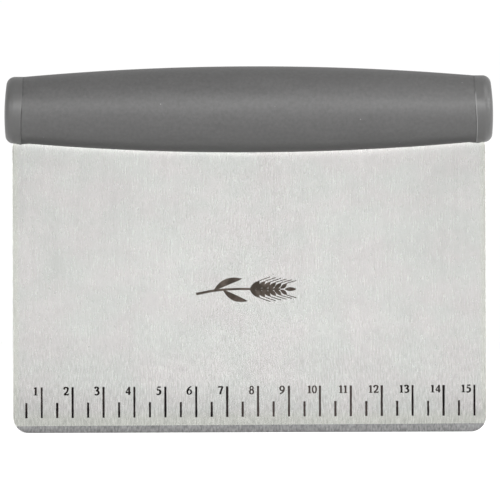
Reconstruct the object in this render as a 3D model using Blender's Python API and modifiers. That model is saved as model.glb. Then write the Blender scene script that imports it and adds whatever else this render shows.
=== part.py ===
"""Bench scraper: a stainless blade whose tang is riveted between the two halves of a hollow handle
core, inside a soft grip sleeve that two end caps close off.

Metres, +Z up. The working edge lies along X at Z = 0, the blade stands in the plane Y = 0, and the
origin is the middle of the working edge. The handle's axis runs along X above it.
"""

import math

import bmesh
import bpy
from mathutils import Matrix, Vector

# Blade: one sheet of stainless steel, ground on both faces along its working edge.
BLADE_WIDTH = 0.1533
BLADE_THICKNESS = 0.0010
BLADE_CORNER_RADIUS = 0.0052
BEVEL_HEIGHT = 0.00245  # at the middle of the blade
BEVEL_RISE = 0.0005  # how much taller the hand-ground bevel is at the +X end than at the -X end
EDGE_LAND = 0.0003  # flat left along the working edge

# Tang: the narrower top of the blade, inside the handle, and the four rivets through it.
TANG_WIDTH = 0.1280
TANG_ABOVE_AXIS = 0.0055
TANG_CORNER_RADIUS = 0.0030
SHOULDER_BELOW_AXIS = 0.0096
SHOULDER_RADIUS = 0.0025
TANG_ROOT_RADIUS = 0.0008
RIVET_COUNT = 4
RIVET_PITCH = 0.0350
RIVET_LENGTH = 0.0180
RIVET_SHANK_RADIUS = 0.0020
RIVET_HEAD_RADIUS = 0.0034
RIVET_HEAD_THICKNESS = 0.0012
RIVET_HEAD_CHAMFER = 0.0003

# Handle outside: a crowned grip sleeve between two short domed caps.
AXIS_HEIGHT = 0.1045
GRIP_LENGTH = 0.1470
GRIP_RADIUS = 0.01395  # at the middle
GRIP_END_RADIUS = 0.0107
GRIP_WALL = 0.0020
GRIP_EDGE_CHAMFER = 0.0003
CAP_LENGTH = 0.00555  # from the end of the sleeve to the top of the dome
CAP_RADIUS = 0.0108
CAP_DOME_RADIUS = 0.0580
CAP_FILLET = 0.0029
CAP_RIM_WALL = 0.0022
CAP_RIM_DEPTH = 0.0026
SPIGOT_RADIUS = 0.0057
SPIGOT_WALL = 0.0015
SPIGOT_REACH = 0.0056  # how far it enters the core, past the cap's rim

# Handle inside: two moulded core halves, with a bore for each cap's spigot and a rib on each side of
# each rivet.
CORE_WALL = 0.0020
END_BORE_DEPTH = 0.0072
RIB_THICKNESS = 0.0016
BOSS_RADIUS = 0.0050

GAP = 0.0003  # clearance between faces that meet
CUT_OVERSHOOT = 0.0300  # how far a cutter runs past what it cuts
MERGE_DISTANCE = 0.00001
STEPS_AROUND = 32
STEPS_ALONG = 10
STEPS_RIVET = 16
STEPS_CORNER = 8
STEPS_DOME = 4

HALF_GRIP = GRIP_LENGTH / 2
SHOULDER_HEIGHT = AXIS_HEIGHT - SHOULDER_BELOW_AXIS
TANG_TOP = AXIS_HEIGHT + TANG_ABOVE_AXIS
SLOT_HALF = BLADE_THICKNESS / 2 + GAP
CORE_INSET = GRIP_WALL + GAP  # from the outside of the grip to the outside of the core
CAVITY_INSET = CORE_INSET + CORE_WALL
CORE_HALF_LENGTH = HALF_GRIP - GAP
CAVITY_HALF_LENGTH = CORE_HALF_LENGTH - END_BORE_DEPTH
END_BORE_RADIUS = SPIGOT_RADIUS + GAP
RIVET_PLACES = [(i - (RIVET_COUNT - 1) / 2) * RIVET_PITCH for i in range(RIVET_COUNT)]
RIB_PLACES = [x + side * RIVET_PITCH / 4 for x in RIVET_PLACES for side in (-1, 1)]

AXIS_POINT = Vector((0, 0, AXIS_HEIGHT))
TURN_TO_X = Matrix.Rotation(math.radians(90), 4, "Y")
TURN_TO_MINUS_X = Matrix.Rotation(math.radians(-90), 4, "Y")
TURN_TO_Y = Matrix.Rotation(math.radians(-90), 4, "X")
STAND_UP = Matrix.Rotation(math.radians(90), 4, "X")  # a flat outline's Y axis becomes Z


# ---- Scene, materials and modelling helpers ----


def clear_scene():
    for obj in list(bpy.data.objects):
        bpy.data.objects.remove(obj, do_unlink=True)


def new_collection(name):
    collection = bpy.data.collections.new(name)
    bpy.context.scene.collection.children.link(collection)
    return collection


def new_material(name, colour, roughness, metallic=0.0):
    material = bpy.data.materials.new(name)
    material.use_nodes = True
    shader = material.node_tree.nodes["Principled BSDF"]
    shader.inputs["Base Color"].default_value = (*colour, 1)
    shader.inputs["Roughness"].default_value = roughness
    shader.inputs["Metallic"].default_value = metallic
    material.diffuse_color = (*colour, 1)
    return material


def add_object(name, mesh, collection, place):
    obj = bpy.data.objects.new(name, mesh)
    obj.matrix_world = place
    collection.objects.link(obj)
    if collection is cutters:
        obj.hide_render = True
        obj.display_type = "WIRE"
    return obj


def shade_round(obj, sharp_angle=35):
    obj.data.shade_smooth()
    obj.data.set_sharp_from_angle(angle=math.radians(sharp_angle))


def on_axis(turn=None, x=0.0):
    """A place on the handle's axis, at x along it."""
    shift = Matrix.Translation(AXIS_POINT + Vector((x, 0, 0)))
    return shift @ turn if turn else shift


def mesh_of(name, bm):
    mesh = bpy.data.meshes.new(name)
    bm.to_mesh(mesh)
    bm.free()
    return mesh


def add_cuboid(bm, low, high):
    """A box between two opposite corners."""
    low = Vector(low)
    high = Vector(high)
    made = bmesh.ops.create_cube(bm, size=1)
    bmesh.ops.scale(bm, vec=high - low, verts=made["verts"])
    bmesh.ops.translate(bm, vec=(low + high) / 2, verts=made["verts"])


def box_cutter(name, low, high, place):
    bm = bmesh.new()
    add_cuboid(bm, low, high)
    return add_object(name, mesh_of(name, bm), cutters, place)


def turned(name, profile, closed, place, collection, steps=STEPS_AROUND):
    """A solid of revolution about local Z. The profile lists (radius, z), down its outer side."""
    edges = [(i, i + 1) for i in range(len(profile) - 1)]
    if closed:
        edges.append((len(profile) - 1, 0))
    mesh = bpy.data.meshes.new(name)
    mesh.from_pydata([(r, 0, z) for r, z in profile], edges, [])
    obj = add_object(name, mesh, collection, place)
    screw = obj.modifiers.new("turn", "SCREW")
    screw.steps = steps
    screw.render_steps = steps
    screw.use_merge_vertices = True
    screw.merge_threshold = MERGE_DISTANCE
    screw.use_smooth_shade = True
    return obj


def combine(obj, operation, *others):
    for other in others:
        modifier = obj.modifiers.new(f"{operation.lower()} {other.name}", "BOOLEAN")
        modifier.operation = operation
        modifier.solver = "EXACT"
        modifier.object = other


def arc(centre, radius, start, end, steps):
    """Points on an arc between two angles in degrees, ends included."""
    angles = [math.radians(start + (end - start) * i / steps) for i in range(steps + 1)]
    return [(centre[0] + radius * math.cos(a), centre[1] + radius * math.sin(a)) for a in angles]


def rounded_outline(corners):
    """The points of a closed outline whose corners (x, y, radius) are rounded by arcs."""
    points = []
    for i, (x, y, radius) in enumerate(corners):
        here = Vector((x, y))
        to_last = (Vector(corners[i - 1][:2]) - here).normalized()
        to_next = (Vector(corners[(i + 1) % len(corners)][:2]) - here).normalized()
        half_angle = to_last.angle(to_next) / 2
        centre = here + (to_last + to_next).normalized() * radius / math.sin(half_angle)
        reach = radius / math.tan(half_angle)
        first = here + to_last * reach - centre
        last = here + to_next * reach - centre
        turn = first.angle_signed(last)
        for step in range(STEPS_CORNER + 1):
            spoke = first.copy()
            spoke.rotate(Matrix.Rotation(-turn * step / STEPS_CORNER, 2))
            points.append(centre + spoke)
    return points


def flat_plate(name, outlines, thickness, place, collection):
    """A plate cut to the first outline, with the other outlines as holes in it."""
    curve = bpy.data.curves.new(name, "CURVE")
    curve.dimensions = "2D"
    curve.fill_mode = "BOTH"
    curve.extrude = thickness / 2
    for outline in outlines:
        spline = curve.splines.new("POLY")
        spline.points.add(len(outline) - 1)
        spline.use_cyclic_u = True
        for point, (x, y) in zip(spline.points, outline):
            point.co = (x, y, 0, 1)
    guide = bpy.data.objects.new(name + "_outline", curve)
    cutters.objects.link(guide)
    depsgraph = bpy.context.evaluated_depsgraph_get()
    flat = bpy.data.meshes.new_from_object(guide.evaluated_get(depsgraph))
    bpy.data.objects.remove(guide, do_unlink=True)
    bm = bmesh.new()
    bm.from_mesh(flat)
    bpy.data.meshes.remove(flat)
    bmesh.ops.remove_doubles(bm, verts=bm.verts, dist=MERGE_DISTANCE)
    return add_object(name, mesh_of(name, bm), collection, place)


# ---- Handle profiles, as (radius, distance along the axis) ----


def grip_radius(x):
    """The crowned grip's outer radius at a distance x from its middle: one shallow arc."""
    drop = GRIP_RADIUS - GRIP_END_RADIUS
    crown = (HALF_GRIP**2 + drop**2) / (2 * drop)
    return GRIP_RADIUS - (crown - math.sqrt(crown**2 - x**2))


def barrel(half_length, inset):
    """The grip's crown, moved in by inset, from +half_length to -half_length."""
    places = [half_length * (1 - 2 * i / STEPS_ALONG) for i in range(STEPS_ALONG + 1)]
    return [(grip_radius(x) - inset, x) for x in places]


def sleeve_profile():
    outside = barrel(HALF_GRIP - GRIP_EDGE_CHAMFER, 0)
    end = (grip_radius(HALF_GRIP) - GRIP_EDGE_CHAMFER, HALF_GRIP)
    other_end = (end[0], -HALF_GRIP)
    inside = barrel(HALF_GRIP, GRIP_WALL)[::-1]
    return [end, *outside, other_end, *inside]


def core_profile():
    outside = barrel(CORE_HALF_LENGTH, CORE_INSET)
    cavity = barrel(CAVITY_HALF_LENGTH, CAVITY_INSET)[::-1]
    bore = [(END_BORE_RADIUS, CORE_HALF_LENGTH), (END_BORE_RADIUS, CAVITY_HALF_LENGTH)]
    other_bore = [(r, -x) for r, x in bore]
    return [*outside, *other_bore, *cavity, *bore[::-1]]


def cap_profile():
    """A cap, from the top of its dome down its side, then through its inside to the axis again."""
    top = HALF_GRIP + CAP_LENGTH
    rim = HALF_GRIP + GAP
    floor = rim + CAP_RIM_DEPTH
    tip = rim - SPIGOT_REACH
    bore = SPIGOT_RADIUS - SPIGOT_WALL
    rim_inside = CAP_RADIUS - CAP_RIM_WALL
    fillet_radius = CAP_RADIUS - CAP_FILLET
    dome_centre = top - CAP_DOME_RADIUS
    reach = CAP_DOME_RADIUS - CAP_FILLET
    fillet_centre = dome_centre + math.sqrt(reach**2 - fillet_radius**2)
    lean = math.degrees(math.acos(fillet_radius / reach))  # where the dome meets the fillet
    dome = arc((0, dome_centre), CAP_DOME_RADIUS, 90, lean, STEPS_DOME)
    dome[0] = (0, top)
    fillet = arc((fillet_radius, fillet_centre), CAP_FILLET, lean, 0, STEPS_CORNER)[1:]
    inside = [
        (CAP_RADIUS, rim),
        (rim_inside, rim),
        (rim_inside, floor),
        (SPIGOT_RADIUS, floor),
        (SPIGOT_RADIUS, tip),
        (bore, tip),
        (bore, floor),
        (0, floor),
    ]
    return [*dome, *fillet, *inside]


def rivet_profile(clearance=0.0, head_reach=RIVET_HEAD_THICKNESS):
    """A rivet with two flat heads. With a clearance it is the hole that the rivet fills."""
    under = RIVET_LENGTH / 2 - RIVET_HEAD_THICKNESS - clearance
    top = RIVET_LENGTH / 2 - RIVET_HEAD_THICKNESS + head_reach
    head = RIVET_HEAD_RADIUS + clearance
    shank = RIVET_SHANK_RADIUS + clearance
    half = [
        (0, top),
        (head - RIVET_HEAD_CHAMFER, top),
        (head, top - RIVET_HEAD_CHAMFER),
        (head, under),
        (shank, under),
    ]
    return half + [(r, -z) for r, z in reversed(half)]


# ---- Blade ----


def blade_outline():
    half = BLADE_WIDTH / 2
    tang = TANG_WIDTH / 2
    right = [
        (half, 0, BLADE_CORNER_RADIUS),
        (half, SHOULDER_HEIGHT, SHOULDER_RADIUS),
        (tang, SHOULDER_HEIGHT, TANG_ROOT_RADIUS),
        (tang, TANG_TOP, TANG_CORNER_RADIUS),
    ]
    left = [(-x, y, radius) for x, y, radius in reversed(right)]
    return rounded_outline(right + left)


def bevel_cutter(name, side):
    """A slab whose base lies in the plane of the bevel ground on the blade's front (-1) or back (1) face."""
    left = Vector((-BLADE_WIDTH / 2, side * BLADE_THICKNESS / 2, BEVEL_HEIGHT - BEVEL_RISE / 2))
    right = Vector((BLADE_WIDTH / 2, side * BLADE_THICKNESS / 2, BEVEL_HEIGHT + BEVEL_RISE / 2))
    edge = Vector((0, side * EDGE_LAND / 2, 0))
    along = (right - left).normalized() * side
    normal = along.cross(edge - left).normalized()
    across = normal.cross(along)
    place = Matrix.Translation(edge) @ Matrix((along, across, normal)).transposed().to_4x4()
    size = BLADE_WIDTH
    return box_cutter(name, (-size, -size / 2, 0), (size, size / 2, size / 4), place)


def make_blade():
    holes = [
        arc((x, AXIS_HEIGHT), RIVET_SHANK_RADIUS + GAP, 0, 360, STEPS_RIVET)[:-1] for x in RIVET_PLACES
    ]
    blade = flat_plate("blade", [blade_outline(), *holes], BLADE_THICKNESS, STAND_UP, scraper)
    combine(blade, "DIFFERENCE", bevel_cutter("bevel_front", -1), bevel_cutter("bevel_rear", 1))
    blade.data.materials.append(new_material("stainless_steel", (0.62, 0.62, 0.61), 0.32, 1.0))


# ---- Handle ----


def make_sleeve():
    sleeve = turned("grip_sleeve", sleeve_profile(), True, on_axis(TURN_TO_X), scraper)
    slit = box_cutter(
        "sleeve_slit",
        (-HALF_GRIP - CUT_OVERSHOOT, -SLOT_HALF, -CUT_OVERSHOOT),
        (HALF_GRIP + CUT_OVERSHOOT, SLOT_HALF, -SPIGOT_RADIUS),
        on_axis(),
    )
    combine(sleeve, "DIFFERENCE", slit)
    sleeve.data.materials.append(new_material("soft_grip", (0.165, 0.165, 0.165), 0.62))


def make_end_cap(name, side, material):
    """A cap at the -X (-1) or +X (1) end, notched underneath for the blade's shoulder."""
    turn = TURN_TO_X if side > 0 else TURN_TO_MINUS_X
    cap = turned(name, cap_profile(), False, on_axis(turn), scraper)
    notch = box_cutter(
        name + "_notch",
        (min(0, side) * (BLADE_WIDTH / 2 + GAP), -SLOT_HALF, -CUT_OVERSHOOT),
        (max(0, side) * (BLADE_WIDTH / 2 + GAP), SLOT_HALF, GAP - SHOULDER_BELOW_AXIS),
        on_axis(),
    )
    combine(cap, "DIFFERENCE", notch)
    cap.data.materials.append(material)


def make_core_web():
    """The ribs and rivet bosses, oversize, trimmed to run half-way into the core's wall."""
    bm = bmesh.new()
    for x in RIB_PLACES:
        half = RIB_THICKNESS / 2
        add_cuboid(bm, (x - half, -CUT_OVERSHOOT, -CUT_OVERSHOOT), (x + half, CUT_OVERSHOOT, CUT_OVERSHOOT))
    for x in RIVET_PLACES:
        boss = Matrix.Translation((x, 0, 0)) @ TURN_TO_Y
        bmesh.ops.create_cone(
            bm,
            cap_ends=True,
            segments=STEPS_RIVET,
            radius1=BOSS_RADIUS,
            radius2=BOSS_RADIUS,
            depth=2 * CUT_OVERSHOOT,
            matrix=boss,
        )
    web = add_object("core_web", mesh_of("core_web", bm), cutters, on_axis())
    inside = barrel(CAVITY_HALF_LENGTH, CORE_INSET + CORE_WALL / 2)
    limit = [(0, CAVITY_HALF_LENGTH), *inside, (0, -CAVITY_HALF_LENGTH)]
    combine(web, "INTERSECT", turned("core_web_limit", limit, False, on_axis(TURN_TO_X), cutters))
    return web


def make_rivet_holes():
    profile = rivet_profile(clearance=GAP, head_reach=CUT_OVERSHOOT)
    return [
        turned(f"rivet_hole_{i + 1}", profile, False, on_axis(TURN_TO_Y, x), cutters, STEPS_RIVET)
        for i, x in enumerate(RIVET_PLACES)
    ]


def make_core_half(name, side, web, tang_slot, rivet_holes, material):
    """The half of the core in front of (-1) or behind (1) the blade."""
    half = turned(name, core_profile(), True, on_axis(TURN_TO_X), scraper)
    reach = HALF_GRIP + CUT_OVERSHOOT
    face = side * GAP / 2
    back = -side * CUT_OVERSHOOT
    other_side = box_cutter(
        name + "_other_side",
        (-reach, min(face, back), -CUT_OVERSHOOT),
        (reach, max(face, back), CUT_OVERSHOOT),
        on_axis(),
    )
    combine(half, "UNION", web)
    combine(half, "DIFFERENCE", other_side, tang_slot, *rivet_holes)
    half.data.materials.append(material)


def make_core():
    tang_slot = box_cutter(
        "tang_slot",
        (-TANG_WIDTH / 2 - GAP, -SLOT_HALF, -CUT_OVERSHOOT),
        (TANG_WIDTH / 2 + GAP, SLOT_HALF, TANG_ABOVE_AXIS + GAP),
        on_axis(),
    )
    web = make_core_web()
    rivet_holes = make_rivet_holes()
    plastic = new_material("core_plastic", (0.05, 0.05, 0.052), 0.55)
    make_core_half("core_front", -1, web, tang_slot, rivet_holes, plastic)
    make_core_half("core_rear", 1, web, tang_slot, rivet_holes, plastic)


def make_rivets():
    steel = new_material("rivet_steel", (0.55, 0.55, 0.54), 0.4, 1.0)
    for i, x in enumerate(RIVET_PLACES):
        place = on_axis(TURN_TO_Y, x)
        rivet = turned(f"tang_rivet_{i + 1}", rivet_profile(), False, place, scraper, STEPS_RIVET)
        rivet.data.materials.append(steel)


clear_scene()
scraper = new_collection("bench_scraper")
cutters = new_collection("cutters")
cap_plastic = new_material("cap_plastic", (0.175, 0.175, 0.175), 0.45)
make_blade()
make_core()
make_rivets()
make_sleeve()
make_end_cap("end_cap_left", -1, cap_plastic)
make_end_cap("end_cap_right", 1, cap_plastic)
for part in scraper.objects:
    shade_round(part)
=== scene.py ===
"""Looks of the bench scraper: a brushed steel blade with an etched centimetre ruler and wheat mark, a
soft grip sleeve and two end caps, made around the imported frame.

Metres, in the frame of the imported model: X along the working edge, Y through the blade towards its back,
Z up. The working edge is at Z = 0.
"""

import math
import random

import bmesh
import bpy
from mathutils import Matrix, Vector
from mathutils.geometry import delaunay_2d_cdt


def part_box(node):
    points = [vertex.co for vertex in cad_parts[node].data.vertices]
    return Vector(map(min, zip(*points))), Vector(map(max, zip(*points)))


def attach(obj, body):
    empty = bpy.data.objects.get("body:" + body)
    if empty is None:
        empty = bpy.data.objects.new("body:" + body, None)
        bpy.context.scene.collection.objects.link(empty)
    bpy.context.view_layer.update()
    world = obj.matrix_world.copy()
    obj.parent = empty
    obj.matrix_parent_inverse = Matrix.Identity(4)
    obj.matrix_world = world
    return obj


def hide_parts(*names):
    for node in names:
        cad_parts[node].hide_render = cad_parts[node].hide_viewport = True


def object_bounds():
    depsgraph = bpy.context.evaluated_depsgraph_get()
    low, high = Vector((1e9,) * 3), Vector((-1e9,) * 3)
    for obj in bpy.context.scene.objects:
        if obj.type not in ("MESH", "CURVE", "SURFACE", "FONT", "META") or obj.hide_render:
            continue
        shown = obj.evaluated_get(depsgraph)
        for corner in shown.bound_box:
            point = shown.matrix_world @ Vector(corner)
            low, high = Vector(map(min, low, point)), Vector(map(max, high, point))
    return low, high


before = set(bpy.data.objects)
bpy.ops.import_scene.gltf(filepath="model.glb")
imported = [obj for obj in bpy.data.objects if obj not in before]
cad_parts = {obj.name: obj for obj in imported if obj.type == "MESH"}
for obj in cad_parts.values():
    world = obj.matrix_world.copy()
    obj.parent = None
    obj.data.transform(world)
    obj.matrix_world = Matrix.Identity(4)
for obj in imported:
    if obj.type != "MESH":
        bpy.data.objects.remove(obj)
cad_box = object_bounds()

MM = 0.001
SEED = 7

# ---- Places read from the frame ----

_, blade_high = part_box("blade")
_, sleeve_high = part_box("grip_sleeve")
cap_low, cap_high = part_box("end_cap_right")

BLADE_HALF_WIDTH = blade_high.x
BLADE_HALF_THICKNESS = blade_high.y
TANG_TOP = blade_high.z
HALF_GRIP = sleeve_high.x
GRIP_RADIUS = sleeve_high.y
AXIS_HEIGHT = sleeve_high.z - GRIP_RADIUS
CAP_RADIUS = cap_high.y
CAP_TOP = cap_high.x
SPIGOT_TIP = cap_low.x

# ---- Blade ----

CORNER_RADIUS = 5.2 * MM
LEFT_SHADOW_FADE = (86 * MM, 91 * MM)  # the painted shadow on the -X edge, just under the left cap, sets in between these heights
TANG_HALF_WIDTH = 64 * MM
SHOULDER_HEIGHT = AXIS_HEIGHT - 9.6 * MM
SHOULDER_RADIUS = 2.5 * MM
TANG_ROOT_RADIUS = 0.8 * MM
TANG_CORNER_RADIUS = 3 * MM
RIVET_HOLE_RADIUS = 2.3 * MM
RIVET_HOLE_STEPS = 48
EDGE_ROUNDING = 0.16 * MM
BEVEL_HEIGHT = 2.45 * MM  # at the middle of the blade
BEVEL_RISE = 0.5 * MM  # how much taller it is at the +X end
EDGE_LAND = 0.3 * MM  # flat left along the working edge
MERGE_DISTANCE = 0.002 * MM

# ---- Ruler and mark, etched into the front face ----

RULER_FIRST = -67.3 * MM  # where the 1 cm tick is
RULER_COUNT = 15
RULER_PITCH = 10 * MM
RULER_TILT = 0.0028  # it climbs by this slope against the working edge
TICK_BOTTOM = 4.85 * MM
LONG_TICK = 9.95 * MM
SHORT_TICK = 4.9 * MM
TICK_WIDTH = 0.7 * MM
NUMERAL_HEIGHT = {1: 2.62 * MM, 2: 2.45 * MM}  # of a number of one or two digits
NUMERAL_GAP = {1: 1.0 * MM, 2: 0.8 * MM}  # from such a number to its tick
MARK_CENTRE = Vector((-1.0, 46.3)) * MM
FADE_CENTRE = 20 * MM  # the middle of the stretch of the ruler whose etching is rubbed fainter
FADE_CORE = 12 * MM  # the etching is faintest as far as this from that middle
FADE_REACH = 34 * MM  # and it is black again from here on
ETCH_PROUD = 0.02 * MM
ETCH_DEPTH = 0.05 * MM

# ---- Handle ----

GRIP_END_RADIUS = 10.7 * MM
GRIP_WALL = 2.0 * MM
GRIP_END_ROUNDING = 0.16 * MM
LIP_ROUNDING = 0.3 * MM
SLIT_HALF = BLADE_HALF_THICKNESS + 0.06 * MM
SEAM = HALF_GRIP - 0.25 * MM  # where the sleeve ends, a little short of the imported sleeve's end
CAP_GAP = 0.05 * MM  # between the sleeve and each cap
CAP_TILT = 0.025  # the caps' faces lean out towards the bottom by this slope
CAP_TIP = CAP_TOP - 0.025 * MM
CAP_DOME_RADIUS = 72 * MM
CAP_FILLET = 2.7 * MM
CAP_RIM_ROUNDING = 0.12 * MM
CAP_RIM_WALL = 2.2 * MM
CAP_RIM_DEPTH = 2.6 * MM
CAP_FLOOR = HALF_GRIP + CAP_GAP + CAP_RIM_DEPTH  # the bottom of the hollow inside the rim
SPIGOT_RADIUS = 5.7 * MM
SPIGOT_WALL = 1.5 * MM
NOTCH_TOP = AXIS_HEIGHT - 9.3 * MM
NOTCH_END = BLADE_HALF_WIDTH + 0.15 * MM
SEAM_SWAY = 0.27 * MM  # the seams lean out at the bottom and in at the top by this much
SEAM_TURN = 4 * MM  # the height above or below the axis over which they turn from one to the other
LEAN_FADE = 40  # the power with which the sleeve's lean dies away from the seam
SEAM_PAINT_FADE = (4 * MM, 6 * MM)  # over the axis: below this the right cap's rim is painted pale as a highlight, and above it the seams are painted dark as shade
FLASH_DROP = 0.48 * MM  # how far the moulding flash hangs down under each seam
FLASH_LENGTH = 1.15 * MM
FLASH_SPREAD = 1.9 * MM
STEPS_AROUND = 120
STEPS_ALONG = 72
END_STEPS = 6
DOME_STEPS = 12
FILLET_STEPS = 14
SIDE_STEPS = 5
RIM_STEPS = 4

DROP = GRIP_RADIUS - GRIP_END_RADIUS
CROWN_RADIUS = (HALF_GRIP**2 + DROP**2) / (2 * DROP)


# ---- Materials ----


class Surface:
    """A procedural material: one Principled shader and the nodes that feed it."""

    def __init__(self, name, **sockets):
        self.material = bpy.data.materials.new(name)
        self.material.use_nodes = True
        self.tree = self.material.node_tree
        self.shader = self.tree.nodes["Principled BSDF"]
        for socket, value in sockets.items():
            self.shader.inputs[socket.replace("_", " ")].default_value = value
        self.place = self.node("TexCoord").outputs["Object"]
        split = self.node("SeparateXYZ")
        self.link(self.place, split.inputs[0])
        self.x, self.y, self.z = split.outputs

    def node(self, kind, **settings):
        made = self.tree.nodes.new("ShaderNode" + kind)
        for name, value in settings.items():
            setattr(made, name, value)
        return made

    def link(self, source, target):
        """Feeds a socket from another socket, or sets it to a number or colour."""
        if isinstance(source, bpy.types.NodeSocket):
            self.tree.links.new(source, target)
        else:
            target.default_value = source

    def maths(self, operation, *values):
        made = self.node("Math", operation=operation)
        for value, socket in zip(values, made.inputs):
            self.link(value, socket)
        return made.outputs[0]

    def noise(self, cell, detail=2.0, roughness=0.5, distortion=0.0, offset=(0, 0, 0)):
        """Noise whose blobs are about cell = (x, y, z) metres in size. Its mean is about a half."""
        mapping = self.node("Mapping")
        mapping.inputs["Location"].default_value = offset
        mapping.inputs["Scale"].default_value = [1 / size for size in cell]
        self.link(self.place, mapping.inputs["Vector"])
        noise = self.node("TexNoise")
        noise.inputs["Scale"].default_value = 1
        noise.inputs["Detail"].default_value = detail
        noise.inputs["Roughness"].default_value = roughness
        noise.inputs["Distortion"].default_value = distortion
        self.link(mapping.outputs[0], noise.inputs["Vector"])
        return noise.outputs["Fac"]

    def specks(self, cell, radius):
        """1 inside small scattered dots of that radius, about one for each cell, and 0 between them."""
        cells = self.node("TexVoronoi", feature="F1")
        cells.inputs["Scale"].default_value = 1 / cell
        self.link(self.place, cells.inputs["Vector"])
        return self.span(cells.outputs["Distance"], radius / cell, 0.6 * radius / cell, 0, 1)

    def span(self, value, from_min, from_max, to_min, to_max, smooth=True):
        """Maps a range of a value to another range, clamped at both ends."""
        made = self.node("MapRange", interpolation_type="SMOOTHSTEP" if smooth else "LINEAR")
        for number, socket in zip((value, from_min, from_max, to_min, to_max), made.inputs):
            self.link(number, socket)
        return made.outputs[0]

    def swing(self, value, amount):
        """A factor around 1 that follows a noise value."""
        return self.maths("MULTIPLY_ADD", value, amount, 1 - amount / 2)

    def mix(self, factor, first, second, blend="MIX"):
        made = self.node("Mix", data_type="RGBA", blend_type=blend)
        self.link(factor, made.inputs[0])
        self.link((*first, 1) if isinstance(first, tuple) else first, made.inputs[6])
        self.link((*second, 1) if isinstance(second, tuple) else second, made.inputs[7])
        return made.outputs[2]

    def tinted(self, colour, *factors):
        """The colour multiplied by each factor in turn."""
        for factor in factors:
            colour = self.mix(1.0, colour, factor, "MULTIPLY")
        return colour

    def handle_underside(self):
        """The height of the handle's lowest line at each point's X."""
        crown = self.maths("MULTIPLY", self.maths("MULTIPLY", self.x, self.x), 1 / (2 * CROWN_RADIUS))
        return self.maths("ADD", crown, AXIS_HEIGHT - GRIP_RADIUS)

    def seam_sway(self):
        """1 well above the handle's axis, where the seams lean in, and -1 well below it."""
        height = self.maths("SUBTRACT", self.z, AXIS_HEIGHT)
        return self.maths("TANH", self.maths("MULTIPLY", height, 1 / SEAM_TURN))

    def lower_seams(self):
        """1 up to a little above the handle's axis, where the right cap's rim gets a painted highlight, and 0
        above that, where the seams get painted shade.
        """
        return self.span(self.z, AXIS_HEIGHT + SEAM_PAINT_FADE[0], AXIS_HEIGHT + SEAM_PAINT_FADE[1], 1, 0)

    def bump(self, height, depth, under=None):
        made = self.node("Bump")
        made.inputs["Distance"].default_value = depth
        self.link(height, made.inputs["Height"])
        if under is not None:
            self.link(under, made.inputs["Normal"])
        return made.outputs[0]

    def finish(self, colour, roughness, normal):
        self.link(colour, self.shader.inputs["Base Color"])
        self.link(roughness, self.shader.inputs["Roughness"])
        self.link(normal, self.shader.inputs["Normal"])
        return self.material


def brushed_steel():
    """The blade's faces: brushed up and down, cloudy, warmer towards the edges and darker just inside the
    sides, with painted shade towards the working edge and the sides, a painted highlight under the handle and
    a painted shadow on the -X edge under the left cap.
    """
    s = Surface("brushed_steel", Metallic=1.0, Anisotropic=0.9)
    fine = s.noise((0.26 * MM, 9 * MM, 2.2 * MM), detail=1.5)
    streaks = s.noise((0.55 * MM, 9 * MM, 3.2 * MM), detail=2, offset=(3, 0, 5))
    bands = s.noise((2.2 * MM, 9 * MM, 45 * MM), detail=2, offset=(8, 0, 1))
    clouds = s.noise((17 * MM, 30 * MM, 13 * MM), detail=3, roughness=0.55, distortion=0.4)
    tint = s.noise((15 * MM, 30 * MM, 12 * MM), detail=2, offset=(4, 2, 9))

    # The brushing is rougher towards the working edge.
    worn = s.noise((0.42 * MM, 9 * MM, 2.4 * MM), detail=2, offset=(7, 0, 2))
    wear_amount = s.span(s.z, 2 * MM, 45 * MM, 0.9, 0, smooth=False)
    wear = s.maths("MULTIPLY_ADD", s.maths("SUBTRACT", worn, 0.5), wear_amount, 1.0)

    from_side = s.maths("SUBTRACT", BLADE_HALF_WIDTH, s.maths("ABSOLUTE", s.x))
    side_shade = s.span(from_side, 0.2 * MM, 1.2 * MM, 0.955, 1.0)
    side_tint = s.span(from_side, 1.0 * MM, 2.6 * MM, 1.0, 0.0)
    edge_tint = s.maths("MAXIMUM", side_tint, s.span(s.z, 4 * MM, 8 * MM, 1.0, 0.0))
    # Painted shadow: the blade's -X edge is darkened just under the left cap.
    from_left = s.maths("ADD", s.x, BLADE_HALF_WIDTH)
    left_edge_shadow = s.span(from_left, 0.3 * MM, 0.6 * MM, 0.62, 1)
    left_edge_shadow = s.maths("MAXIMUM", left_edge_shadow, s.span(s.z, *LEFT_SHADOW_FADE, 1, 0))
    # Painted light: the faces are lighter towards the middle and darker towards the sides.
    painted_middle_light = s.span(from_side, 0, 55 * MM, 0.97, 1.03)
    # Painted shade: darker towards the working edge, over the lower half and more so across the ruler's band.
    painted_ruler_band_shade = s.span(s.z, 3.0 * MM, 19 * MM, 0.86, 1.0)
    painted_lower_shade = s.span(s.z, 5 * MM, 65 * MM, 0.90, 1.0)

    # A painted highlight: a thin bright line follows the underside of the handle.
    below = s.maths("SUBTRACT", s.handle_underside(), s.z)
    nearness = s.maths("EXPONENT", s.maths("MULTIPLY", below, -1 / (0.75 * MM)))
    painted_handle_highlight = s.maths("MULTIPLY_ADD", s.maths("MINIMUM", nearness, 1.0), 0.65, 1.0)

    colour = s.mix(s.span(tint, 0.35, 0.65, 0, 1), (0.474, 0.482, 0.466), (0.486, 0.476, 0.468))
    colour = s.mix(edge_tint, colour, (0.476, 0.482, 0.450))
    colour = s.tinted(
        colour,
        s.swing(fine, 0.09),
        s.swing(streaks, 0.12),
        s.swing(bands, 0.09),
        s.swing(clouds, 0.19),
        wear,
        side_shade,
        left_edge_shadow,
        painted_middle_light,
        painted_ruler_band_shade,
        painted_lower_shade,
        painted_handle_highlight,
    )
    roughness = s.maths("MULTIPLY", s.swing(streaks, 0.12), 0.27)
    normal = s.bump(streaks, 0.005 * MM, under=s.bump(fine, 0.0025 * MM))
    return s.finish(colour, roughness, normal)


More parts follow.
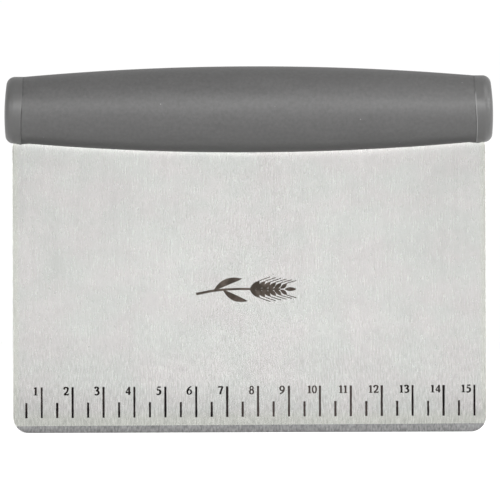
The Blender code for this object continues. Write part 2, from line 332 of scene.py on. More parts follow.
def ground_steel():
    """The bevels ground along the working edge: darker, partly as the ground finish and partly as a painted
    dark reflection, with short grinding marks across them.
    """
    s = Surface("ground_steel", Metallic=1.0)
    marks = s.noise((0.55 * MM, 9 * MM, 1.3 * MM), detail=3, roughness=0.6)
    waves = s.noise((7 * MM, 9 * MM, 7 * MM), detail=2, offset=(2, 0, 3))
    down = s.span(s.z, 0, 1.6 * MM, 0.9, 1.04)
    # The dark base colour is partly the ground finish and partly a painted dark reflection.
    colour = s.tinted((0.160, 0.160, 0.161), s.swing(marks, 2.2), s.swing(waves, 0.45), down)
    roughness = s.maths("MULTIPLY", s.swing(marks, 0.4), 0.42)
    return s.finish(colour, roughness, s.bump(marks, 0.015 * MM))


def cut_steel():
    """The sheared, tumbled outline of the sheet."""
    s = Surface("cut_steel", Metallic=1.0)
    grain = s.noise((0.3 * MM, 0.3 * MM, 0.3 * MM), detail=3)
    wear = s.noise((4 * MM, 4 * MM, 4 * MM), detail=2)
    colour = s.tinted((0.60, 0.60, 0.585), s.swing(grain, 0.4), s.swing(wear, 0.3))
    roughness = s.maths("MULTIPLY", s.swing(grain, 0.5), 0.33)
    return s.finish(colour, roughness, s.bump(grain, 0.01 * MM))


def etched_black():
    """The ruler's etching: nearly black, browner in patches and rubbed fainter along one stretch."""
    s = Surface("etched_black", Metallic=0.0, Specular_IOR_Level=0.04)
    pits = s.noise((0.25 * MM, 1 * MM, 0.5 * MM), detail=3)
    wear = s.noise((6.5 * MM, 9 * MM, 5 * MM), detail=1.5, offset=(6, 0, 2))
    colour = s.mix(s.span(wear, 0.45, 0.66, 0, 1), (0.002, 0.001, 0.001), (0.012, 0.009, 0.008))
    from_fade = s.maths("ABSOLUTE", s.maths("SUBTRACT", s.x, FADE_CENTRE))
    colour = s.mix(s.span(from_fade, FADE_CORE, FADE_REACH, 1, 0), colour, (0.028, 0.022, 0.020))
    colour = s.tinted(colour, s.swing(pits, 0.9))
    roughness = s.maths("MULTIPLY", s.swing(pits, 0.3), 0.6)
    return s.finish(colour, roughness, s.bump(pits, 0.01 * MM))


def etched_mark():
    """The wheat mark's lighter, browner etching, with the brushing showing through."""
    s = Surface("etched_mark", Metallic=0.0, Specular_IOR_Level=0.08)
    brushing = s.noise((0.3 * MM, 9 * MM, 1.6 * MM), detail=2)
    wear = s.noise((3.5 * MM, 9 * MM, 3.5 * MM), detail=2, offset=(1, 0, 7))
    colour = s.mix(s.span(wear, 0.4, 0.62, 0, 1), (0.022, 0.017, 0.013), (0.050, 0.040, 0.033))
    colour = s.tinted(colour, s.swing(brushing, 0.7))
    roughness = s.maths("MULTIPLY", s.swing(brushing, 0.3), 0.55)
    return s.finish(colour, roughness, s.bump(brushing, 0.01 * MM))


def soft_touch():
    """The grip: matt grey elastomer with a fine texture, smudges and a little dust, with painted shade at the
    seams above the axis and along its underside.
    """
    s = Surface("soft_touch", Metallic=0.0)
    skin = s.noise((0.16 * MM, 0.16 * MM, 0.16 * MM), detail=2)
    orange_peel = s.noise((1.1 * MM, 1.1 * MM, 1.1 * MM), detail=2, offset=(5, 3, 1))
    smudges = s.noise((16 * MM, 9 * MM, 9 * MM), detail=3, roughness=0.55, distortion=0.6)
    streaks = s.noise((30 * MM, 5 * MM, 3 * MM), detail=2, offset=(2, 7, 4))
    dust = s.specks(5.5 * MM, 0.2 * MM)
    # Painted shade: the grip is darkened beside each seam, from a little above the axis upwards.
    seam = s.maths("MULTIPLY_ADD", s.seam_sway(), -SEAM_SWAY, SEAM)
    to_seam = s.maths("SUBTRACT", seam, s.maths("ABSOLUTE", s.x))
    painted_seam_shade = s.maths("MAXIMUM", s.span(to_seam, 0.25 * MM, 0.55 * MM, 0.68, 1), s.lower_seams())
    # Painted shade: darker along the grip's lowest line, next to the blade.
    from_bottom = s.maths("SUBTRACT", s.z, s.handle_underside())
    painted_underside_shade = s.span(from_bottom, -0.2 * MM, 3 * MM, 0.3, 1)
    colour = s.tinted(
        (0.0446, 0.0442, 0.0438),
        s.swing(skin, 0.55),
        s.swing(orange_peel, 0.60),
        s.swing(smudges, 0.26),
        s.swing(streaks, 0.10),
        painted_seam_shade,
        painted_underside_shade,
    )
    colour = s.mix(s.maths("MULTIPLY", dust, 0.35), colour, (0.36, 0.36, 0.35))
    roughness = s.maths("MULTIPLY", s.swing(smudges, 0.3), 0.55)
    normal = s.bump(orange_peel, 0.02 * MM, under=s.bump(skin, 0.012 * MM))
    return s.finish(colour, roughness, normal)


def moulded_caps():
    """The end caps: harder grey plastic, smoother than the grip, each painted darker over its domed end as
    shade, and the right one's rim painted pale as a highlight.
    """
    s = Surface("moulded_caps", Metallic=0.0, Specular_IOR_Level=0.45)
    grain = s.noise((0.25 * MM, 0.25 * MM, 0.25 * MM), detail=2)
    flow = s.noise((0.9 * MM, 6 * MM, 6 * MM), detail=2, offset=(3, 1, 8))
    scuffs = s.noise((3 * MM, 3 * MM, 1.5 * MM), detail=3, distortion=0.8)
    from_middle = s.maths("ABSOLUTE", s.x)
    # Painted shade: each cap is darker over the last millimetre of its domed end.
    dome = s.span(from_middle, CAP_TOP - 1.0 * MM, CAP_TOP - 0.1 * MM, 1.0, 0.85)
    from_rim = s.maths("MULTIPLY_ADD", s.seam_sway(), SEAM_SWAY, s.maths("SUBTRACT", s.x, SEAM + CAP_GAP))
    # Painted highlight: the right cap's rim is paled from a little above the axis downwards.
    right_cap = s.span(s.x, 0, 1 * MM, 0, 1)
    painted_rim_highlight = s.maths("MULTIPLY", right_cap, s.lower_seams())
    painted_rim_highlight = s.maths("MULTIPLY", s.span(from_rim, 0.2 * MM, 0.4 * MM, 1, 0), painted_rim_highlight)
    colour = s.tinted(
        (0.0515, 0.0512, 0.0507),
        s.swing(grain, 0.14),
        s.swing(flow, 0.16),
        s.swing(scuffs, 0.16),
        dome,
    )
    colour = s.mix(s.maths("MULTIPLY", painted_rim_highlight, 0.85), colour, (0.15, 0.15, 0.15))
    roughness = s.maths("MULTIPLY", s.swing(scuffs, 0.3), 0.45)
    normal = s.bump(flow, 0.02 * MM, under=s.bump(grain, 0.008 * MM))
    return s.finish(colour, roughness, normal)


def core_moulding():
    """The hidden core: dark glass-filled plastic."""
    s = Surface("core_moulding", Metallic=0.0)
    fibres = s.noise((1.6 * MM, 0.3 * MM, 0.3 * MM), detail=3)
    flow = s.noise((12 * MM, 6 * MM, 6 * MM), detail=3, distortion=0.8)
    colour = s.tinted((0.050, 0.050, 0.053), s.swing(fibres, 0.5), s.swing(flow, 0.35))
    roughness = s.maths("MULTIPLY", s.swing(fibres, 0.3), 0.55)
    return s.finish(colour, roughness, s.bump(fibres, 0.02 * MM))


def rivet_steel():
    """The hidden rivets: plain steel with hammer marks on the heads."""
    s = Surface("rivet_steel", Metallic=1.0)
    peen = s.noise((0.9 * MM, 0.9 * MM, 0.9 * MM), detail=2)
    grain = s.noise((0.2 * MM, 1.5 * MM, 0.2 * MM), detail=2)
    colour = s.tinted((0.55, 0.55, 0.54), s.swing(peen, 0.3), s.swing(grain, 0.25))
    roughness = s.maths("MULTIPLY", s.swing(peen, 0.5), 0.4)
    normal = s.bump(peen, 0.06 * MM, under=s.bump(grain, 0.01 * MM))
    return s.finish(colour, roughness, normal)


# ---- Mesh helpers ----


def new_piece(name, bm, *materials):
    mesh = bpy.data.meshes.new(name)
    bm.to_mesh(mesh)
    bm.free()
    for material in materials:
        mesh.materials.append(material)
    piece = bpy.data.objects.new(name, mesh)
    bpy.context.scene.collection.objects.link(piece)
    return piece


def apply_modifiers(piece):
    """Gives a piece the mesh that its modifiers make, and drops them."""
    depsgraph = bpy.context.evaluated_depsgraph_get()
    mesh = bpy.data.meshes.new_from_object(piece.evaluated_get(depsgraph))
    piece.modifiers.clear()
    piece.data = mesh


def cut(piece, *cutters):
    """Cuts each cutter out of the piece, then removes the cutters."""
    for cutter in cutters:
        modifier = piece.modifiers.new("cut", "BOOLEAN")
        modifier.operation = "DIFFERENCE"
        modifier.solver = "EXACT"
        modifier.object = cutter
    apply_modifiers(piece)
    for cutter in cutters:
        bpy.data.objects.remove(cutter, do_unlink=True)


def box_cutter(low, high, place=Matrix.Identity(4)):
    bm = bmesh.new()
    bmesh.ops.create_cube(bm, size=1)
    bmesh.ops.scale(bm, vec=Vector(high) - Vector(low), verts=bm.verts)
    bmesh.ops.translate(bm, vec=(Vector(low) + Vector(high)) / 2, verts=bm.verts)
    cutter = new_piece("cutter", bm)
    cutter.matrix_world = place
    return cutter


def shade(piece, sharp_angle):
    """Shades a piece smooth, but for edges sharper than the angle in degrees."""
    piece.data.shade_smooth()
    piece.data.set_sharp_from_angle(angle=math.radians(sharp_angle))


def arc(centre, radius, start, end, steps):
    """Points on an arc between two angles in degrees, ends included."""
    angles = [math.radians(start + (end - start) * i / steps) for i in range(steps + 1)]
    return [(centre[0] + radius * math.cos(a), centre[1] + radius * math.sin(a)) for a in angles]


def rounded_outline(corners, steps=20):
    """The points of a closed outline whose corners (x, y, radius) are rounded by arcs."""
    points = []
    for i, (x, y, radius) in enumerate(corners):
        here = Vector((x, y))
        to_last = (Vector(corners[i - 1][:2]) - here).normalized()
        to_next = (Vector(corners[(i + 1) % len(corners)][:2]) - here).normalized()
        half_angle = to_last.angle(to_next) / 2
        centre = here + (to_last + to_next).normalized() * radius / math.sin(half_angle)
        reach = radius / math.tan(half_angle)
        first = here + to_last * reach - centre
        turn = first.angle_signed(here + to_next * reach - centre)
        for step in range(steps + 1):
            spoke = first.copy()
            spoke.rotate(Matrix.Rotation(-turn * step / steps, 2))
            points.append(centre + spoke)
    return points


def grip_radius(x):
    """The crowned grip's outer radius at a distance x from its middle."""
    return GRIP_RADIUS - (CROWN_RADIUS - math.sqrt(CROWN_RADIUS**2 - x**2))


# ---- Blade ----


def blade_plate():
    """The blade's sheet, with its outline's edges rounded over."""
    tang = TANG_HALF_WIDTH
    right = [
        (BLADE_HALF_WIDTH, 0, CORNER_RADIUS),
        (BLADE_HALF_WIDTH, SHOULDER_HEIGHT, SHOULDER_RADIUS),
        (tang, SHOULDER_HEIGHT, TANG_ROOT_RADIUS),
        (tang, TANG_TOP, TANG_CORNER_RADIUS),
    ]
    outline = rounded_outline(right + [(-x, y, radius) for x, y, radius in reversed(right)])
    rivets = [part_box(f"tang_rivet_{i}") for i in (1, 2, 3, 4)]
    middles = [((low.x + high.x) / 2, AXIS_HEIGHT) for low, high in rivets]
    holes = [arc(middle, RIVET_HOLE_RADIUS, 0, 360, RIVET_HOLE_STEPS)[:-1] for middle in middles]
    curve = bpy.data.curves.new("sheet", "CURVE")
    curve.dimensions = "2D"
    curve.fill_mode = "BOTH"
    curve.extrude = BLADE_HALF_THICKNESS - EDGE_ROUNDING
    curve.bevel_depth = EDGE_ROUNDING
    curve.bevel_resolution = 3
    curve.offset = -EDGE_ROUNDING
    for points in (outline, *holes):
        spline = curve.splines.new("POLY")
        spline.points.add(len(points) - 1)
        spline.use_cyclic_u = True
        for point, (x, y) in zip(spline.points, points):
            point.co = (x, y, 0, 1)
    guide = bpy.data.objects.new("sheet", curve)
    bpy.context.scene.collection.objects.link(guide)
    flat = bpy.data.meshes.new_from_object(guide.evaluated_get(bpy.context.evaluated_depsgraph_get()))
    bpy.data.objects.remove(guide, do_unlink=True)
    bm = bmesh.new()
    bm.from_mesh(flat)
    bpy.data.meshes.remove(flat)
    bmesh.ops.remove_doubles(bm, verts=bm.verts, dist=MERGE_DISTANCE)
    bmesh.ops.transform(bm, matrix=Matrix.Rotation(math.radians(90), 4, "X"), verts=bm.verts)
    return bm


def bevel_cutter(side):
    """A slab that grinds the bevel on the blade's front (-1) or back (1) face."""
    left = Vector((-BLADE_HALF_WIDTH, side * BLADE_HALF_THICKNESS, BEVEL_HEIGHT - BEVEL_RISE / 2))
    right = Vector((BLADE_HALF_WIDTH, side * BLADE_HALF_THICKNESS, BEVEL_HEIGHT + BEVEL_RISE / 2))
    edge = Vector((0, side * EDGE_LAND / 2, 0))
    along = (right - left).normalized() * side
    normal = along.cross(edge - left).normalized()
    place = Matrix.Translation(edge) @ Matrix((along, normal.cross(along), normal)).transposed().to_4x4()
    size = 2 * BLADE_HALF_WIDTH
    return box_cutter((-size, -size / 2, 0), (size, size / 2, size / 4), place)


def finish_faces(piece):
    """Gives each face a material by the way it faces: 0 on the sheet's faces, 1 its bevels, 2 its outline."""
    tolerance = 0.004
    flat_facing = 0.998
    ground_facing = math.cos(math.atan2(BLADE_HALF_THICKNESS - EDGE_LAND / 2, BEVEL_HEIGHT))
    bm = bmesh.new()
    bm.from_mesh(piece.data)
    bmesh.ops.remove_doubles(bm, verts=bm.verts, dist=MERGE_DISTANCE)
    for face in bm.faces:
        facing = abs(face.normal.y)
        if facing > flat_facing:
            face.material_index = 0
        elif abs(facing - ground_facing) < tolerance and face.calc_center_median().z < 2 * BEVEL_HEIGHT:
            face.material_index = 1
        else:
            face.material_index = 2
        face.smooth = True
    for edge in bm.edges:
        slots = [face.material_index for face in edge.link_faces]
        edge.smooth = not (1 in slots and len(set(slots)) > 1)
    bm.to_mesh(piece.data)
    bm.free()
    modifier = piece.modifiers.new("normals", "WEIGHTED_NORMAL")
    modifier.keep_sharp = True


def make_blade():
    blade = new_piece("blade_sheet", blade_plate())
    cut(blade, bevel_cutter(-1), bevel_cutter(1))
    blade.data.materials.clear()
    for material in (brushed_steel(), ground_steel(), cut_steel()):
        blade.data.materials.append(material)
    finish_faces(blade)
    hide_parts("blade")
    return blade


# ---- Etched marks: pen strokes, merged and given a thickness ----


def smooth_path(points, steps=7):
    """A smooth curve through the points, each followed by steps more up to the next."""
    points = [Vector(p) for p in points]
    padded = [2 * points[0] - points[1], *points, 2 * points[-1] - points[-2]]
    path = []
    for i in range(1, len(padded) - 2):
        before, start, end, after = padded[i - 1 : i + 3]
        for step in range(steps):
            t = step / steps
            path.append(
                0.5
                * (
                    2 * start
                    + (end - before) * t
                    + (2 * before - 5 * start + 4 * end - after) * t**2
                    + (3 * start - before - 3 * end + after) * t**3
                )
            )
    return [*path, points[-1]]


def ribbon(path, half_width):
    """A stroke along the path, as a chain of four-sided outlines.

    half_width is a function of how far along the path a point is, from 0 to 1, and of the path's direction.
    """
    sides = []
    for i, point in enumerate(path):
        direction = (path[min(i + 1, len(path) - 1)] - path[max(i - 1, 0)]).normalized()
        across = Vector((-direction.y, direction.x)) * half_width(i / (len(path) - 1), direction)
        sides.append((point - across, point + across))
    return [[a, c, d, b] for (a, b), (c, d) in zip(sides, sides[1:])]


def nib(thick, thin):
    """A broad pen's half width: thick where the stroke runs up and down, thin where it runs across."""
    return lambda t, way: thin + (thick - thin) * abs(way.y) ** 1.3


def pen(points, thick=0.132, thin=0.078):
    return ribbon(smooth_path(points), nib(thick, thin))


def bar(start, end, half_width):
    return ribbon([Vector(start), Vector(end)], lambda t, way: half_width)


def leaf(start, end, half_width, bow=0.0, steps=14):
    """A pointed oval from start to end, bowed to one side."""
    start = Vector(start)
    along = Vector(end) - start
    across = Vector((-along.y, along.x)) * bow
    spine = [
        start + along * t + across * math.sin(math.pi * t) for t in (i / steps for i in range(steps + 1))
    ]
    return ribbon(spine, lambda t, way: half_width * max(math.sin(math.pi * t), 0.03) ** 0.8)


def disc(centre, radius, steps=14):
    return [[Vector(p) for p in arc(centre, radius, 0, 360, steps)[:-1]]]


def ellipse(centre, width, height, thick=0.10, thin=0.06, steps=30):
    points = [
        Vector((centre[0] + width * math.cos(a), centre[1] + height * math.sin(a)))
        for a in (2 * math.pi * i / steps for i in range(steps + 1))
    ]
    return ribbon(points, nib(thick, thin))


# Each numeral as its width and its strokes, in units of its height.
NUMERALS = {
    "0": (0.52, lambda: ellipse((0.26, 0.5), 0.245, 0.46)),
    "1": (
        0.46,
        lambda: bar((0.235, 0.02), (0.235, 1.0), 0.122)
        + pen([(0.02, 0.85), (0.12, 0.885), (0.24, 0.965)], 0.08)
        + bar((0.0, 0.045), (0.46, 0.045), 0.045),
    ),
    "2": (
        0.60,
        lambda: pen([(0.07, 0.73), (0.13, 0.91), (0.32, 0.974), (0.50, 0.88), (0.53, 0.71)])
        + pen([(0.53, 0.72), (0.47, 0.50), (0.27, 0.26), (0.06, 0.06)], 0.105)
        + bar((0.02, 0.07), (0.63, 0.07), 0.09)
        + bar((0.60, 0.03), (0.67, 0.23), 0.03)
        + disc((0.095, 0.735), 0.055),
    ),
    "3": (
        0.62,
        lambda: pen([
            (0.06, 0.80), (0.14, 0.93), (0.28, 0.974), (0.44, 0.90),
            (0.47, 0.75), (0.36, 0.60), (0.20, 0.53),
        ])
        + pen([(0.20, 0.55), (0.42, 0.50), (0.53, 0.31), (0.45, 0.11), (0.26, 0.026), (0.07, 0.075)])
        + disc((0.08, 0.09), 0.06),
    ),
    "4": (
        0.58,
        lambda: bar((0.45, 0.0), (0.45, 1.0), 0.12)
        + bar((0.45, 0.97), (0.03, 0.30), 0.065)
        + bar((0.02, 0.285), (0.65, 0.285), 0.085),
    ),
    "5": (
        0.62,
        lambda: pen([(0.20, 0.93), (0.14, 0.75), (0.10, 0.58)], 0.045)
        + bar((0.18, 0.93), (0.56, 0.94), 0.09)
        + pen([
            (0.10, 0.575), (0.30, 0.60), (0.48, 0.50), (0.52, 0.30),
            (0.42, 0.10), (0.24, 0.026), (0.06, 0.07),
        ])
        + disc((0.075, 0.085), 0.055),
    ),
    "6": (
        0.68,
        lambda: pen([
            (0.60, 0.985), (0.38, 0.88), (0.17, 0.64), (0.09, 0.34), (0.18, 0.10), (0.35, 0.026),
        ], 0.108, 0.06)
        + pen([
            (0.35, 0.026), (0.52, 0.12), (0.58, 0.31), (0.50, 0.52), (0.34, 0.58), (0.15, 0.49),
        ], 0.108, 0.06),
    ),
    "7": (
        0.64,
        lambda: bar((0.05, 0.93), (0.62, 0.93), 0.095)
        + pen([(0.60, 0.94), (0.48, 0.64), (0.37, 0.32), (0.29, 0.0)], 0.112)
        + bar((0.075, 0.98), (0.03, 0.78), 0.032),
    ),
    "8": (
        0.60,
        lambda: ellipse((0.32, 0.755), 0.185, 0.22, 0.085)
        + ellipse((0.32, 0.285), 0.225, 0.26)
        + bar((0.20, 0.62), (0.46, 0.44), 0.06),
    ),
}
UPSIDE_DOWN = {"9": "6"}
TWO_DIGIT_SPACING = 0.15  # of the numeral's height, between its digits


def numeral(digit):
    """The numeral's width and its outlines."""
    if digit in UPSIDE_DOWN:
        width, strokes = NUMERALS[UPSIDE_DOWN[digit]]
        return width, [[Vector((width - p.x, 1 - p.y)) for p in outline] for outline in strokes()]
    width, strokes = NUMERALS[digit]
    return width, strokes()


def moved(outlines, offset, scale):
    return [[Vector(offset) + p * scale for p in outline] for outline in outlines]


def add_etching(bm, outlines):
    """Merges overlapping outlines, in (x, z) metres, into one thin solid let into the blade's front.

    Its faces are made in a fixed order, because bmesh's extrusion orders them differently from run to run.
    """
    points = [p / MM for outline in outlines for p in outline]
    faces = []
    first = 0
    for outline in outlines:
        faces.append(list(range(first, first + len(outline))))
        first += len(outline)
    flat, _, triangles, _, _, inside = delaunay_2d_cdt(points, [], faces, 1, 1e-4)
    triangles = [corners for corners, of in zip(triangles, inside) if of]
    used = sorted({i for corners in triangles for i in corners})
    proud = -BLADE_HALF_THICKNESS - ETCH_PROUD
    front, back = [
        {i: bm.verts.new((flat[i].x * MM, y, flat[i].y * MM)) for i in used}
        for y in (proud, proud + ETCH_DEPTH)
    ]
    edges = [edge for a, b, c in triangles for edge in ((a, b), (b, c), (c, a))]
    for corners in triangles:
        bm.faces.new([front[i] for i in corners])
        bm.faces.new([back[i] for i in reversed(corners)])
    inner = set(edges)
    for a, b in edges:
        if (b, a) not in inner:
            bm.faces.new((front[b], front[a], back[a], back[b]))


def etching(name, groups, material):
    bm = bmesh.new()
    for outlines in groups:
        add_etching(bm, outlines)
    bmesh.ops.recalc_face_normals(bm, faces=bm.faces)
    flat = math.radians(1)
    bmesh.ops.dissolve_limit(bm, angle_limit=flat, verts=bm.verts, edges=bm.edges)
    piece = new_piece(name, bm, material)
    shade(piece, 30)
    return piece


def tick(x, length, draw):
    """One ruler line, with the slight waver of a cheap etch."""
    steps = 8
    rise = RULER_TILT * (x - RULER_FIRST)
    x += draw.uniform(-0.02, 0.02) * MM
    top = TICK_BOTTOM + rise + length + draw.uniform(-0.05, 0.05) * MM
    bottom = TICK_BOTTOM + rise + draw.uniform(-0.05, 0.05) * MM
    width = TICK_WIDTH / 2 * draw.uniform(0.92, 1.08)
    halves = [width * draw.uniform(0.9, 1.1) for _ in range(steps + 1)]
    path = [Vector((x, bottom + (top - bottom) * i / steps)) for i in range(steps + 1)]
    return ribbon(path, lambda t, way: halves[round(t * steps)])


def make_ticks(material):
    draw = random.Random(SEED)
    groups = []
    for n in range(RULER_COUNT):
        x = RULER_FIRST + n * RULER_PITCH
        groups.append(tick(x, LONG_TICK, draw))
        groups.append(tick(x - RULER_PITCH / 2, SHORT_TICK, draw))
    return etching("ruler_ticks", groups, material)


def make_numerals(material):
    groups = []
    for n in range(RULER_COUNT):
        text = str(n + 1)
        height = NUMERAL_HEIGHT[len(text)]
        right = RULER_FIRST + n * RULER_PITCH - TICK_WIDTH / 2 - NUMERAL_GAP[len(text)]
        for digit in reversed(text):
            width, outlines = numeral(digit)
            left = right - width * height
            base = TICK_BOTTOM + LONG_TICK - height + RULER_TILT * (left - RULER_FIRST)
            groups.append(moved(outlines, (left, base), height))
            right = left - TWO_DIGIT_SPACING * height
    return etching("ruler_numerals", groups, material)


def make_wheat_mark(material):
    """A generic ear of wheat lying along the blade: stem, two leaves, paired grains and their awns.

    Its numbers are millimetres from the mark's centre.
    """
    half_length = 16.2
    half_height = 4.0
    grain_pairs = 6
    stem = [(-half_length, -1.5), (-10, -0.35), (-3, 0.1), (5, 0), (11, 0)]
    outlines = ribbon(smooth_path(stem), lambda t, way: 0.42 - 0.14 * t)
    outlines += leaf((-10.6, -0.4), (-1.4, 3.4), 1.05, bow=0.09)
    outlines += leaf((-7.6, -0.1), (0.4, -3.8), 1.0, bow=-0.09)
    for pair in range(grain_pairs):
        root = 1.2 + 1.95 * pair
        size = 1 - 0.06 * pair
        for side in (-1, 1):
            tip = (root + 3.1 * size, side * 2.75 * size)
            outlines += leaf((root, side * 0.25), tip, 0.86 * size, bow=-0.07 * side)
            awn = (min(tip[0] + 3.4, half_length), side * min(abs(tip[1]) * 1.45, half_height))
            outlines += bar(tip, awn, 0.13)
    outlines += leaf((12.4, 0), (half_length, 0), 0.62)
    return etching("wheat_mark", [moved(outlines, MARK_CENTRE, MM)], material)


# ---- Handle ----


def seam_lean(z):
    """How far out a seam point lies at height z above the handle's axis."""
    return -SEAM_SWAY * math.tanh(z / SEAM_TURN)


def flash(x, y, z):
    """The drop of the moulding flash at a point on the handle."""
    if z > 0:
        return 0
    along = (abs(x) - SEAM - SEAM_SWAY) / FLASH_LENGTH
    return FLASH_DROP * math.exp(-(along**2)) * math.exp(-((y / FLASH_SPREAD) ** 2))


def section(radius, inner_radius):
    """Outer and inner points (y, z) of the slit sleeve's wall, from one lip round the top to the other."""
    lip = [LIP_ROUNDING * step for step in (0, 0.08, 0.22, 0.42, 0.68, 1)]
    outer = []
    for reach in lip:
        y = SLIT_HALF + reach
        sag = LIP_ROUNDING - math.sqrt(LIP_ROUNDING**2 - (LIP_ROUNDING - reach) ** 2)
        outer.append((y, -math.sqrt(radius**2 - y**2) + sag))
    start = math.asin(outer[-1][0] / radius)
    half = STEPS_AROUND // 2
    for i in range(1, half + 1):
        a = start + (math.pi - start) * i / half
        outer.append((radius * math.sin(a), -radius * math.cos(a)))
    start = math.asin(SLIT_HALF / inner_radius)
    inner = []
    for i in range(len(outer)):
        a = start + (math.pi - start) * i / (len(outer) - 1)
        inner.append((inner_radius * math.sin(a), -inner_radius * math.cos(a)))
    mirror = [[(-y, z) for y, z in reversed(points[:-1])] for points in (outer, inner)]
    return outer + mirror[0], inner + mirror[1]


def make_grip(material):
    """The crowned sleeve: one closed wall, slit underneath, with rounded ends and lips."""
    straight = SEAM - GRIP_END_ROUNDING
    turns = [math.radians(90 * i / END_STEPS) for i in range(END_STEPS + 1)]
    end = [
        (straight + GRIP_END_ROUNDING * math.sin(a), GRIP_END_ROUNDING * (1 - math.cos(a))) for a in turns
    ]
    middle = [(straight * (2 * i / STEPS_ALONG - 1), 0.0) for i in range(1, STEPS_ALONG)]
    stations = [(-x, inset) for x, inset in reversed(end)] + middle + end
    bm = bmesh.new()
    rings = []
    for x, inset in stations:
        outer, inner = section(grip_radius(x) - inset, grip_radius(x) - GRIP_WALL)
        ring = []
        for y, z in outer + inner[::-1]:
            lean = seam_lean(z) * (abs(x) / SEAM) ** LEAN_FADE
            drop = flash(x, y, z)
            ring.append(bm.verts.new((x + math.copysign(lean, x), y, AXIS_HEIGHT + z - drop)))
        rings.append(ring)
    count = len(rings[0])
    for ring, following in zip(rings, rings[1:]):
        for i in range(count):
            j = (i + 1) % count
            bm.faces.new((ring[i], ring[j], following[j], following[i]))
    for ring in (rings[0], rings[-1]):
        for i in range(count // 2 - 1):
            bm.faces.new((ring[i], ring[i + 1], ring[count - 2 - i], ring[count - 1 - i]))
    bmesh.ops.recalc_face_normals(bm, faces=bm.faces)
    grip = new_piece("grip_barrel", bm, material)
    shade(grip, 40)
    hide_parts("grip_sleeve")
    return grip


def cap_profile():
    """A cap as (radius, x), from the top of its dome down its side and through its inside to the axis."""
    rim = SEAM + CAP_GAP
    bore = SPIGOT_RADIUS - SPIGOT_WALL
    rim_inside = CAP_RADIUS - CAP_RIM_WALL
    fillet_radius = CAP_RADIUS - CAP_FILLET
    dome_centre = CAP_TIP - CAP_DOME_RADIUS
    reach = CAP_DOME_RADIUS - CAP_FILLET
    fillet_centre = dome_centre + math.sqrt(reach**2 - fillet_radius**2)
    lean = math.degrees(math.acos(fillet_radius / reach))
    dome = arc((0, dome_centre), CAP_DOME_RADIUS, 90, lean, DOME_STEPS)[1:]
    fillet = arc((fillet_radius, fillet_centre), CAP_FILLET, lean, 0, FILLET_STEPS)[1:]
    side_length = fillet_centre - rim - CAP_RIM_ROUNDING
    side = [(CAP_RADIUS, fillet_centre - side_length * i / SIDE_STEPS) for i in range(1, SIDE_STEPS + 1)]
    edge_centre = (CAP_RADIUS - CAP_RIM_ROUNDING, rim + CAP_RIM_ROUNDING)
    edge = arc(edge_centre, CAP_RIM_ROUNDING, 0, -90, RIM_STEPS)[1:]
    inside = [
        (rim_inside, rim),
        (rim_inside, CAP_FLOOR),
        (SPIGOT_RADIUS, CAP_FLOOR),
        (SPIGOT_RADIUS, SPIGOT_TIP),
        (bore, SPIGOT_TIP),
        (bore, CAP_FLOOR),
    ]
    return [(0, CAP_TIP), *dome, *fillet, *side, *edge, *inside, (0, CAP_FLOOR)]


def make_cap(name, node, side, material):
    """A domed end cap at the -X (-1) or +X (1) end, notched underneath for the blade's shoulder."""
    bm = bmesh.new()
    rings = []
    for radius, x in cap_profile():
        count = STEPS_AROUND if radius else 1
        ring = []
        for i in range(count):
            a = 2 * math.pi * i / count
            y = radius * math.sin(a)
            z = radius * math.cos(a)
            outside = x > CAP_FLOOR or radius >= CAP_RADIUS - CAP_RIM_WALL
            outward = (x - SEAM) / (CAP_TIP - SEAM)
            lean = (1 - outward) * seam_lean(z) - outward * CAP_TILT * z if outside else 0
            drop = flash(x, y, z) if outside else 0
            ring.append(bm.verts.new((side * (x + lean), y, AXIS_HEIGHT + z - drop)))
        rings.append(ring)
    for ring, following in zip(rings, rings[1:]):
        for i in range(STEPS_AROUND):
            places = ((ring, i), (ring, i + 1), (following, i + 1), (following, i))
            corners = [around[k % len(around)] for around, k in places]
            bm.faces.new(list(dict.fromkeys(corners)))  # a triangle where a ring is one point
    bmesh.ops.recalc_face_normals(bm, faces=bm.faces)
    cap = new_piece(name, bm, material)
    ends = sorted((side * (SEAM - 1 * MM), side * NOTCH_END))
    cut(cap, box_cutter((ends[0], -SLIT_HALF, 0), (ends[1], SLIT_HALF, NOTCH_TOP)))
    shade(cap, 35)
    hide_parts(node)
    return cap


# ---- Floor, light and camera ----

CAMERA_DISTANCE = 3.0
VIEW_WIDTH = 161.8 * MM  # how much of the blade's plane the camera takes in
VIEW_CENTRE = Vector((0.25 * MM, 0, 59.0 * MM))
CAMERA_ROLL = 0.20  # degrees
SENSOR = 36.0  # millimetres, as in Blender's own settings
FLOOR_SIZE = 6.0
FLOOR_GAP = 0.05 * MM
FLOOR_GLOW = 0.30  # keeps the floor white where the object shades it
ROOM_FRONT = 0.72  # how bright the room is in front of the object and beside it
ROOM_BACK = 1.02  # and right behind it
ROOM_RISE = (0.1, 0.85)  # it brightens between directions with these amounts of +Y
# Each softbox as its name, azimuth and elevation in degrees, distance, size in metres and power in watts.
SOFTBOXES = [
    ("key", 9, 14.5, 2.6, (1.3, 0.58), 53),
    ("left", -50, 12, 1.5, (1.2, 0.3), 10),
    ("right", 75, 14, 1.5, (1.2, 0.3), 15),
    ("side", 62, 48, 0.5, (0.25, 0.25), 0.9),
]


def make_floor():
    bm = bmesh.new()
    bmesh.ops.create_grid(bm, x_segments=1, y_segments=1, size=FLOOR_SIZE / 2)
    bmesh.ops.translate(bm, vec=(0, 0, cad_box[0].z - FLOOR_GAP), verts=bm.verts)
    s = Surface("white_sweep", Metallic=0.0)
    paper = s.noise((2 * MM, 2 * MM, 2 * MM), detail=3)
    colour = s.tinted((0.82, 0.82, 0.82), s.swing(paper, 0.02))
    material = s.finish(colour, 0.9, s.bump(paper, 0.02 * MM))
    s.shader.inputs["Emission Color"].default_value = (1, 1, 1, 1)
    s.shader.inputs["Emission Strength"].default_value = FLOOR_GLOW
    new_piece("floor", bm, material)


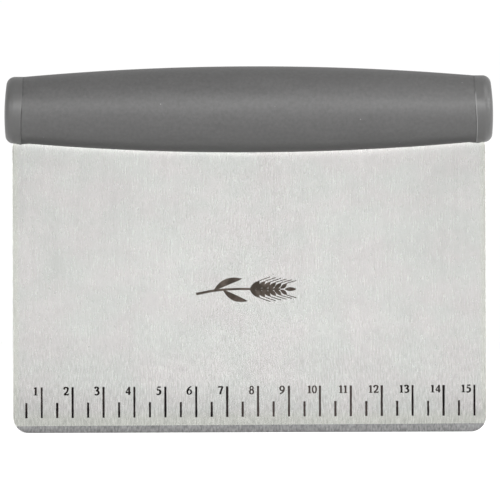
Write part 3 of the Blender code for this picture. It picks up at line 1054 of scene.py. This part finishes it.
def make_room():
    """A plain bright room, brighter behind the object than in front of it."""
    world = bpy.data.worlds.new("studio")
    world.use_nodes = True
    tree = world.node_tree
    background = tree.nodes["Background"]
    background.inputs["Color"].default_value = (1, 1, 1, 1)
    direction = tree.nodes.new("ShaderNodeSeparateXYZ")
    tree.links.new(tree.nodes.new("ShaderNodeTexCoord").outputs["Generated"], direction.inputs[0])
    strength = tree.nodes.new("ShaderNodeMapRange")
    strength.interpolation_type = "SMOOTHSTEP"
    tree.links.new(direction.outputs["Y"], strength.inputs[0])
    for socket, number in zip(strength.inputs[1:5], (*ROOM_RISE, ROOM_FRONT, ROOM_BACK)):
        socket.default_value = number
    tree.links.new(strength.outputs[0], background.inputs["Strength"])
    bpy.context.scene.world = world
    bpy.context.scene.view_settings.view_transform = "Standard"


def add_softbox(name, azimuth, elevation, distance, size, power):
    """A softbox in front of the handle, azimuth degrees to the right of the camera, facing the handle."""
    light = bpy.data.lights.new(name, "AREA")
    light.shape = "RECTANGLE"
    light.size, light.size_y = size
    light.energy = power
    aside = Matrix.Rotation(math.radians(azimuth), 3, "Z")
    upwards = Matrix.Rotation(math.radians(-elevation), 3, "X")
    way = aside @ upwards @ Vector((0, -1, 0))
    lamp = bpy.data.objects.new(name, light)
    lamp.location = Vector((0, 0, AXIS_HEIGHT)) + way * distance
    lamp.rotation_euler = (-way).to_track_quat("-Z", "Y").to_euler()
    bpy.context.scene.collection.objects.link(lamp)


def make_camera():
    data = bpy.data.cameras.new("photo_view")
    data.sensor_width = SENSOR
    data.lens = SENSOR * CAMERA_DISTANCE / VIEW_WIDTH
    camera = bpy.data.objects.new("photo_view", data)
    camera.location = VIEW_CENTRE - Vector((0, CAMERA_DISTANCE, 0))
    upright = Matrix.Rotation(math.radians(90), 4, "X")
    camera.rotation_euler = (upright @ Matrix.Rotation(math.radians(-CAMERA_ROLL), 4, "Z")).to_euler()
    bpy.context.scene.collection.objects.link(camera)
    bpy.context.scene.camera = camera


# ---- Build ----

etch = etched_black()
cap_material = moulded_caps()
pieces = [
    make_blade(),
    make_ticks(etch),
    make_numerals(etch),
    make_wheat_mark(etched_mark()),
    make_grip(soft_touch()),
    make_cap("cap_left", "end_cap_left", -1, cap_material),
    make_cap("cap_right", "end_cap_right", 1, cap_material),
]
for piece in pieces:
    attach(piece, "root")

core_material = core_moulding()
rivet_material = rivet_steel()
for name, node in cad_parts.items():
    if name.startswith("core_"):
        node.material_slots[0].material = core_material
    elif name.startswith("tang_rivet_"):
        node.material_slots[0].material = rivet_material

make_floor()
make_room()
for softbox in SOFTBOXES:
    add_softbox(*softbox)
make_camera()
